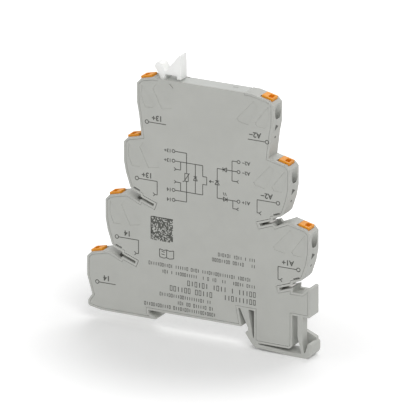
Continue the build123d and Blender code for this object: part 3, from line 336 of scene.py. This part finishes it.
# Finish of each of the record's slots inside the housing.
INNER_FINISH = {
    "tinned_copper": "tinned_copper",
    "spring_steel": "rolled_spring_steel",
    "board_laminate": "solder_resist_green",
    "led_epoxy": "tinted_led_epoxy",
    "clear_polycarbonate": "clear_polycarbonate",
    "component_epoxy": "epoxy_black",
    "varistor_lacquer": "dipped_blue_lacquer",
    "capacitor_ceramic": "sintered_ceramic",
    "relay_plastic": "moulded_relay_polyester",
}


def coat(piece, finish):
    """Gives a piece one finish."""
    piece.data.materials.clear()
    piece.data.materials.append(bpy.data.materials[finish])


def use(piece, finish):
    """Gives a piece one finish."""
    coat(piece, finish)


def weighted(piece):
    """Large flat faces stay flat to the light: their normals outweigh those of the edges."""
    lean = piece.modifiers.new("flat_faces", "WEIGHTED_NORMAL")
    lean.keep_sharp = True
    lean.weight = 100
    piece.data = evaluated_mesh(piece)
    piece.modifiers.remove(lean)


def finished(source, name, edge_mm, body):
    """Clean copy of a CAD node with its moulded edges rounded, in its place."""
    form = bmesh.new()
    form.from_mesh(NODES[source].data)
    bmesh.ops.remove_doubles(form, verts=form.verts, dist=WELD * MM)
    bmesh.ops.dissolve_limit(form, angle_limit=radians(FLAT_ANGLE), verts=form.verts,
                             edges=form.edges)
    mesh = bpy.data.meshes.new(name)
    form.to_mesh(mesh)
    form.free()
    piece = linked(name, mesh)
    rounding = piece.modifiers.new("moulded_edges", "BEVEL")
    rounding.width = edge_mm * MM
    rounding.segments = EDGE_SEGMENTS
    rounding.limit_method = "ANGLE"
    rounding.angle_limit = radians(ROUNDED_ANGLE)
    piece.data = evaluated_mesh(piece)
    piece.modifiers.remove(rounding)
    piece.data.shade_smooth()
    piece.data.set_sharp_from_angle(angle=radians(SMOOTH_ANGLE))
    weighted(piece)
    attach(piece, body)
    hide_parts(source)
    return piece


def ink_tree(name, **inputs):
    """Geometry Nodes tree with the named inputs, and its group input's sockets."""
    tree = bpy.data.node_groups.new(name, "GeometryNodeTree")
    tree.interface.new_socket("Geometry", in_out="OUTPUT", socket_type="NodeSocketGeometry")
    kinds = {"layout": "Geometry", "ink_height": "Float", "ink": "Material", **inputs}
    for key, kind in kinds.items():
        label = key.replace("_", " ").title()
        tree.interface.new_socket(label, in_out="INPUT", socket_type="NodeSocket" + kind)
    return tree, add(tree, "NodeGroupInput").outputs


def end_tree(tree, given, drawn):
    """Ends a tree: instances made real, ink given, result out."""
    real = add(tree, "GeometryNodeRealizeInstances", links={"Geometry": drawn})
    inked = add(tree, "GeometryNodeSetMaterial",
                links={"Geometry": real.outputs["Geometry"], "Material": given["Ink"]})
    add(tree, "NodeGroupOutput", links={"Geometry": inked.outputs["Geometry"]})


def thinned(tree, given, points, share):
    """Leaves out a random share of the points."""
    bare = add(tree, "FunctionNodeRandomValue", {"Probability": share}, {"Seed": given["Seed"]},
               data_type="BOOLEAN")
    kept = add(tree, "GeometryNodeDeleteGeometry",
               links={"Geometry": points, "Selection": bare.outputs[RANDOM_BOOLEAN]},
               domain="POINT")
    return kept.outputs["Geometry"]


def block(tree, x, y, z):
    """Block with its sides from three sockets."""
    size = add(tree, "ShaderNodeCombineXYZ", links={"X": x, "Y": y, "Z": z})
    made = add(tree, "GeometryNodeMeshCube", links={"Size": size.outputs["Vector"]})
    return made.outputs["Mesh"]


def stroke(tree, given, path, width):
    """Flat ribbon of ink along a path that lies in the layout's plane."""
    nib = add(tree, "GeometryNodeCurvePrimitiveQuadrilateral",
              links={"Width": width, "Height": given["Ink Height"]})
    level = add(tree, "GeometryNodeSetCurveNormal", links={"Curve": path}, mode="Z_UP")
    ribbon = add(tree, "GeometryNodeCurveToMesh", {"Fill Caps": True},
                 {"Curve": level.outputs["Curve"], "Profile Curve": nib.outputs["Curve"]})
    return ribbon.outputs["Mesh"]


def line_tree():
    """Every edge of the layout becomes a stroke."""
    tree, given = ink_tree("printed_lines", line_width="Float")
    path = add(tree, "GeometryNodeMeshToCurve", links={"Mesh": given["Layout"]})
    end_tree(tree, given, stroke(tree, given, path.outputs["Curve"], given["Line Width"]))
    return tree


def ring_tree():
    """Every point of the layout becomes a ring."""
    tree, given = ink_tree("printed_rings", line_width="Float", radius="Float")
    loop = add(tree, "GeometryNodeCurvePrimitiveCircle", {"Resolution": RING_POINTS},
               {"Radius": given["Radius"]})
    ring = stroke(tree, given, loop.outputs["Curve"], given["Line Width"])
    rings = add(tree, "GeometryNodeInstanceOnPoints",
                links={"Points": given["Layout"], "Instance": ring})
    end_tree(tree, given, rings.outputs["Instances"])
    return tree


def code_tree():
    """A square field of cells round each point of the layout, some of them bare."""
    tree, given = ink_tree("printed_code", side="Float", cells="Int", seed="Int")
    side = add(tree, "ShaderNodeMath", links={0: given["Side"], 1: given["Cells"]},
               operation="DIVIDE").outputs["Value"]
    field = add(tree, "GeometryNodeMeshGrid",
                links={"Size X": given["Side"], "Size Y": given["Side"],
                       "Vertices X": given["Cells"], "Vertices Y": given["Cells"]})
    kept = thinned(tree, given, field.outputs["Mesh"], CODE_BARE)
    cells = add(tree, "GeometryNodeInstanceOnPoints",
                links={"Points": kept, "Instance": block(tree, side, side, given["Ink Height"])})
    placed = add(tree, "GeometryNodeInstanceOnPoints",
                 links={"Points": given["Layout"], "Instance": cells.outputs["Instances"]})
    end_tree(tree, given, placed.outputs["Instances"])
    return tree


def figure_tree():
    """Rows of plain noughts and ones along the layout's edges, with a word space here and there."""
    tree, given = ink_tree("printed_figures", line_width="Float", pitch="Float",
                           figure_height="Float", seed="Int")
    row = add(tree, "GeometryNodeMeshToCurve", links={"Mesh": given["Layout"]})
    places = add(tree, "GeometryNodeCurveToPoints",
                 links={"Curve": row.outputs["Curve"], "Length": given["Pitch"]}, mode="LENGTH")
    kept = thinned(tree, given, places.outputs["Points"], WORD_SPACES)
    breadth = add(tree, "ShaderNodeMath", {1: NOUGHT_BREADTH}, {0: given["Pitch"]},
                  operation="MULTIPLY")
    loop = add(tree, "GeometryNodeCurvePrimitiveQuadrilateral",
               links={"Width": breadth.outputs["Value"], "Height": given["Figure Height"]})
    nought = stroke(tree, given, loop.outputs["Curve"], given["Line Width"])
    one = block(tree, given["Line Width"], given["Figure Height"], given["Ink Height"])
    both = add(tree, "GeometryNodeJoinGeometry")
    for figure in (nought, one):
        single = add(tree, "GeometryNodeGeometryToInstance", links={"Geometry": figure})
        tree.links.new(single.outputs["Instances"], both.inputs["Geometry"])
    pick = add(tree, "FunctionNodeRandomValue", {RANDOM_LEAST: 0, RANDOM_MOST: 2},
               {"Seed": given["Seed"]}, data_type="INT")
    rows = add(tree, "GeometryNodeInstanceOnPoints", {"Pick Instance": True},
               {"Points": kept, "Instance": both.outputs["Geometry"],
                "Instance Index": pick.outputs[RANDOM_INTEGER]})
    end_tree(tree, given, rows.outputs["Instances"])
    return tree


def on_near_face(piece):
    """Turns a flat layout upright onto the near face, where it rides with the housing."""
    upright = Matrix.Translation((0.0, NEAR_FACE, 0.0)) @ Matrix.Rotation(radians(90), 4, "X")
    piece.data.transform(upright)
    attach(piece, "module")


def printed(name, points, edges, tree, **values):
    """Ink that a tree draws on a flat layout in millimetres."""
    layout = bpy.data.meshes.new(name)
    layout.from_pydata([(x * MM, up * MM, 0.0) for x, up in points], edges, [])
    piece = linked(name, layout)
    drawing = piece.modifiers.new(name, "NODES")
    drawing.node_group = tree
    values["ink"] = bpy.data.materials["pad_print_ink"]
    for socket in tree.interface.items_tree:
        key = socket.name.lower().replace(" ", "_")
        if socket.in_out == "INPUT" and key in values:
            drawing[socket.identifier] = values[key]
    piece.data = evaluated_mesh(piece)
    piece.modifiers.remove(drawing)
    on_near_face(piece)


def segments(paths):
    """Points and edges of polylines, each segment on its own."""
    points, edges = [], []
    for path in paths:
        for start, end in zip(path, path[1:]):
            edges.append((len(points), len(points) + 1))
            points += [start, end]
    return points, edges


def inked(name, form):
    """Object of ink from a form that was built by hand."""
    mesh = bpy.data.meshes.new(name)
    form.to_mesh(mesh)
    form.free()
    mesh.materials.append(bpy.data.materials["pad_print_ink"])
    return linked(name, mesh)


def print_marks(name, entries, size, ink):
    """Plain terminal numbers, upside down as the module is printed, in one piece."""
    whole = bmesh.new()
    turn = Euler((0.0, 0.0, radians(180)))
    for text, x, up in entries:
        line = bpy.data.curves.new(name, "FONT")
        line.body, line.size, line.extrude = text, size * MM, ink / 2
        line.align_x, line.align_y = "CENTER", "CENTER"
        line.offset = MARK_SPREAD * size * MM
        letters = linked(name, line)
        flat = evaluated_mesh(letters)
        flat.transform(Matrix.LocRotScale(Vector((x * MM, up * MM, 0.0)), turn, None))
        whole.from_mesh(flat)
        bpy.data.objects.remove(letters)
    on_near_face(inked(name, whole))


def print_end_marks(name, ink):
    """Wiring arrow and test point under each wire entry, laid on the curved end face."""
    form = bmesh.new()
    form.from_mesh(NODES["housing_shell"].data)
    faces = BVHTree.FromBMesh(form)
    form.free()
    whole = bmesh.new()
    for mount in frame["record"]["mounts"]:
        if not mount["name"].startswith("wire_entry"):
            continue
        x, _, height = mount["pos_m"]
        out = Vector((1.0 if x > 0 else -1.0, 0.0, 0.0))
        for shape in (ARROW, TEST_POINT):
            starts = [out * OUTSIDE + Vector((0.0, y * MM, height + up * MM)) for y, up in shape]
            places = [faces.ray_cast(start, -out)[0] for start in starts]
            outer = [whole.verts.new(place + out * ink) for place in places]
            inner = [whole.verts.new(place - out * ink) for place in places]
            whole.faces.new(outer)
            whole.faces.new(reversed(inner))
            for i in range(len(shape)):
                whole.faces.new((outer[i - 1], outer[i], inner[i], inner[i - 1]))
    bmesh.ops.recalc_face_normals(whole, faces=whole.faces)
    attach(inked(name, whole), "module")


class FinishSettings(bpy.types.PropertyGroup):
    """Moulded edges."""
    housing_edge: FloatProperty(
        name="Housing Edge", description="Edge radius of the housing in millimetres",
        default=0.18, min=0.0, max=0.5)
    button_edge: FloatProperty(
        name="Button Edge", description="Edge radius of the buttons in millimetres",
        default=0.12, min=0.0, max=0.5)
    lever_edge: FloatProperty(
        name="Lever Edge", description="Edge radius of lever and relay in millimetres",
        default=0.15, min=0.0, max=0.5)


class PrintSettings(bpy.types.PropertyGroup):
    """Pad print."""
    line_width: FloatProperty(
        name="Line Width", description="Width of the circuit's lines in millimetres",
        default=0.26, min=0.1, max=1.0)
    ink_height: FloatProperty(
        name="Ink Height", description="How far the ink stands proud, in millimetres",
        default=0.03, min=0.005, max=0.1)
    mark_height: FloatProperty(
        name="Mark Height", description="Size of the terminal marks in millimetres",
        default=2.4, min=0.5, max=5.0)


class StageSettings(bpy.types.PropertyGroup):
    """Studio, camera and light."""
    azimuth: FloatProperty(
        name="Azimuth", description="Camera's turn from the printed face to the input side",
        default=radians(27.3), subtype="ANGLE")
    elevation: FloatProperty(
        name="Elevation", description="Camera's height over the module",
        default=radians(19.4), subtype="ANGLE")
    distance: FloatProperty(
        name="Distance", description="From the camera to its target",
        default=2.5, subtype="DISTANCE")
    lens: FloatProperty(
        name="Lens", description="Focal length in millimetres",
        default=703.0, min=20.0, max=2000.0)
    target: FloatVectorProperty(
        name="Target", description="Point in the middle of the view",
        default=(0.00055, 0.0, 0.03744), subtype="TRANSLATION")
    backdrop: FloatVectorProperty(
        name="Backdrop", description="Colour of floor and backdrop",
        size=4, default=linear("#ffffff"), subtype="COLOR")


class MODULE_OT_housing(bpy.types.Operator):
    """Shell and cover with rounded moulded edges"""
    bl_idname = "module.housing"
    bl_label = "Housing"

    def execute(self, context):
        edge = context.scene.module_finish.housing_edge
        for source in ("housing_shell", "side_cover"):
            piece = finished(source, source + "_moulding", edge, "module")
            use(piece, "moulded_grey_polyamide")
        return {"FINISHED"}


class MODULE_OT_buttons(bpy.types.Operator):
    """Release buttons with rounded edges"""
    bl_idname = "module.buttons"
    bl_label = "Release Buttons"

    def execute(self, context):
        edge = context.scene.module_finish.button_edge
        for terminal in OUTPUTS + INPUTS:
            piece = finished(f"release_button_{terminal}", f"button_moulding_{terminal}", edge,
                             f"button_{terminal}")
            use(piece, "moulded_orange_polyester")
        return {"FINISHED"}


class MODULE_OT_lever(bpy.types.Operator):
    """Ejector lever and the relay's case"""
    bl_idname = "module.lever"
    bl_label = "Lever and Relay"

    def execute(self, context):
        edge = context.scene.module_finish.lever_edge
        lever = finished("ejector_lever", "lever_moulding", edge, "lever")
        use(lever, "milky_polycarbonate")
        case = finished("relay_case", "relay_case_moulding", edge, "relay")
        use(case, "moulded_relay_polyester")
        return {"FINISHED"}


class MODULE_OT_inner_parts(bpy.types.Operator):
    """Finishes of the contact parts, the board and the relay's base"""
    bl_idname = "module.inner_parts"
    bl_label = "Inner Parts"

    def execute(self, context):
        for part in frame["record"]["subparts"]:
            piece, finish = NODES[part["node"]], INNER_FINISH.get(part["material_slot"])
            if finish and not piece.hide_render:
                coat(piece, finish)
        return {"FINISHED"}


class MODULE_OT_print(bpy.types.Operator):
    """Terminal marks, circuit diagram and rows of small figures"""
    bl_idname = "module.print"
    bl_label = "Pad Print"

    def execute(self, context):
        setup = context.scene.module_print
        ink, width = setup.ink_height * MM, setup.line_width * MM
        lines, rings, figures = line_tree(), ring_tree(), figure_tree()
        for name, paths in (
            ("terminal_lines", TERMINAL_LINES),
            ("circuit_lines", LOAD_CIRCUIT + INPUT_CIRCUIT),
            ("booklet_mark", BOOKLET),
            ("code_corner", CODE_CORNER),
        ):
            printed(name, *segments(paths), lines, line_width=width, ink_height=ink)
        for name, places, radius in (
            ("terminal_rings", TERMINAL_RINGS, TERMINAL_RING_RADIUS),
            ("circuit_rings", CIRCUIT_RINGS, CIRCUIT_RING_RADIUS),
        ):
            printed(name, places, [], rings, line_width=width, ink_height=ink, radius=radius * MM)
        for name, rows, (pitch, high, wide) in (
            ("small_figures", SMALL_ROWS, SMALL_FIGURES),
            ("large_figures", LARGE_ROWS, LARGE_FIGURES),
        ):
            ends = [((left, up), (right, up)) for left, right, up in rows]
            printed(name, *segments(ends), figures, line_width=wide * MM, ink_height=ink,
                    pitch=pitch * MM, figure_height=high * MM, seed=FIGURE_SEED)
        printed("code_field", [CODE_CENTRE], [], code_tree(), ink_height=ink, side=CODE_SIDE * MM,
                cells=CODE_CELLS, seed=CODE_SEED)
        print_marks("terminal_marks", TERMINAL_MARKS, setup.mark_height, ink)
        print_marks("circuit_marks", CIRCUIT_MARKS, setup.mark_height * CIRCUIT_MARK_SHARE, ink)
        print_end_marks("end_marks", ink)
        return {"FINISHED"}


def aim(piece, target):
    """Turns a camera or lamp towards a point."""
    piece.rotation_euler = (Vector(target) - piece.location).to_track_quat("-Z", "Y").to_euler()


class MODULE_OT_stage(bpy.types.Operator):
    """Floor, world, lamps and camera"""
    bl_idname = "module.stage"
    bl_label = "Studio"

    def execute(self, context):
        setup = context.scene.module_stage
        target = Vector(setup.target)
        self.add_floor(setup.backdrop)
        self.add_world(context.scene)
        for name, place, size, power in SOFTBOXES:
            lamp = bpy.data.lights.new(name, "AREA")
            lamp.size, lamp.energy = size, power
            softbox = linked(name, lamp)
            softbox.location = place
            aim(softbox, target)
        camera = linked("photograph_camera", bpy.data.cameras.new("photograph_camera"))
        level = setup.distance * cos(setup.elevation)
        camera.location = target + Vector((level * sin(setup.azimuth), -level * cos(setup.azimuth),
                                           setup.distance * sin(setup.elevation)))
        aim(camera, target)
        camera.data.lens = setup.lens
        camera.data.sensor_width = SENSOR_WIDTH
        camera.data.clip_start, camera.data.clip_end = CLIP_START, CLIP_END
        context.scene.camera = camera
        context.scene.view_settings.view_transform = "Standard"
        return {"FINISHED"}

    def add_floor(self, colour):
        """Floor of white paper under the module's foot."""
        floor_mesh = bpy.data.meshes.new("studio_floor")
        signs = ((-1, -1), (1, -1), (1, 1), (-1, 1))
        floor_mesh.from_pydata([(x * FLOOR_REACH, y * FLOOR_REACH, MODULE_FOOT) for x, y in signs],
                               [], [(0, 1, 2, 3)])
        floor_mesh.materials.append(self.paper(colour))
        floor = linked("studio_floor", floor_mesh)

    def paper(self, colour):
        """White paper: white to the camera away from the module; round it the glow is dimmed in an
        oval, painted shade over its real shadow.
        """
        made, tree, shader = blank_material("studio_paper", Roughness=0.9, IOR=1.4)
        shader.inputs["Base Color"].default_value = list(colour)
        shader.inputs["Emission Color"].default_value = list(colour)
        place = add(tree, "ShaderNodeTexCoord").outputs["Object"]
        scale = [1 / (length * MM) for length in PAINTED_SHADE_OVAL] + [0.0]
        oval = add(tree, "ShaderNodeMapping", {"Scale": scale}, {"Vector": place})
        away = add(tree, "ShaderNodeVectorMath", links={0: oval.outputs["Vector"]},
                   operation="LENGTH")
        # Painted shade: the glow grows from least near the module to most far off, so the floor is
        # greyer round it.
        level = add(tree, "ShaderNodeMapRange",
                    {"From Min": GLOW_FROM, "From Max": GLOW_TO,
                     "To Min": GLOW_LEAST, "To Max": GLOW_MOST},
                    {"Value": away.outputs["Value"]}, interpolation_type="SMOOTHSTEP")
        rays = add(tree, "ShaderNodeLightPath")
        glow = add(tree, "ShaderNodeMath",
                   links={0: rays.outputs["Is Camera Ray"], 1: level.outputs["Result"]},
                   operation="MULTIPLY")
        tree.links.new(glow.outputs["Value"], shader.inputs["Emission Strength"])
        return made

    def add_world(self, scene):
        """Soft even light, white behind the object."""
        world = bpy.data.worlds.new("studio_world")
        world.use_nodes = True
        tree = world.node_tree
        sky = tree.nodes["Background"]
        rays = add(tree, "ShaderNodeLightPath")
        seen = add(tree, "ShaderNodeMath",
                   links={0: rays.outputs["Is Camera Ray"], 1: rays.outputs["Is Glossy Ray"]},
                   operation="MAXIMUM")
        level = add(tree, "ShaderNodeMapRange", {"To Min": SKY_LIGHT, "To Max": 1.0},
                    {"Value": seen.outputs["Value"]})
        tree.links.new(level.outputs["Result"], sky.inputs["Strength"])
        sky.inputs["Color"].default_value = (1.0, 1.0, 1.0, 1.0)
        scene.world = world


class MODULE_PT_sidebar(bpy.types.Panel):
    """Lists the pieces in the sidebar"""
    bl_label = "Relay Module"
    bl_idname = "MODULE_PT_sidebar"
    bl_space_type = "VIEW_3D"
    bl_region_type = "UI"
    bl_category = "Relay Module"

    def draw(self, context):
        column = self.layout.column()
        for operator in OPERATORS:
            column.operator(operator.bl_idname)
        scene = context.scene
        for group in (scene.module_stage, scene.module_finish, scene.module_print):
            for name in group.__annotations__:
                column.prop(group, name)


OPERATORS = (MODULE_OT_housing, MODULE_OT_buttons, MODULE_OT_lever, MODULE_OT_inner_parts,
             MODULE_OT_print, MODULE_OT_stage)
GROUPS = (StageSettings, FinishSettings, PrintSettings)
CLASSES = GROUPS + OPERATORS + (MODULE_PT_sidebar,)


def register():
    """Registers the classes and their settings."""
    for entry in CLASSES:
        bpy.utils.register_class(entry)
    bpy.types.Scene.module_stage = PointerProperty(type=StageSettings)
    bpy.types.Scene.module_finish = PointerProperty(type=FinishSettings)
    bpy.types.Scene.module_print = PointerProperty(type=PrintSettings)


def unregister():
    """Removes the settings and the classes."""
    del bpy.types.Scene.module_print
    del bpy.types.Scene.module_finish
    del bpy.types.Scene.module_stage
    for entry in reversed(CLASSES):
        bpy.utils.unregister_class(entry)


def main():
    """Dresses the whole module."""
    register()
    make_materials()
    bpy.ops.module.housing()
    bpy.ops.module.buttons()
    bpy.ops.module.lever()
    bpy.ops.module.inner_parts()
    bpy.ops.module.print()
    bpy.ops.module.stage()


if __name__ == "__main__":
    main()
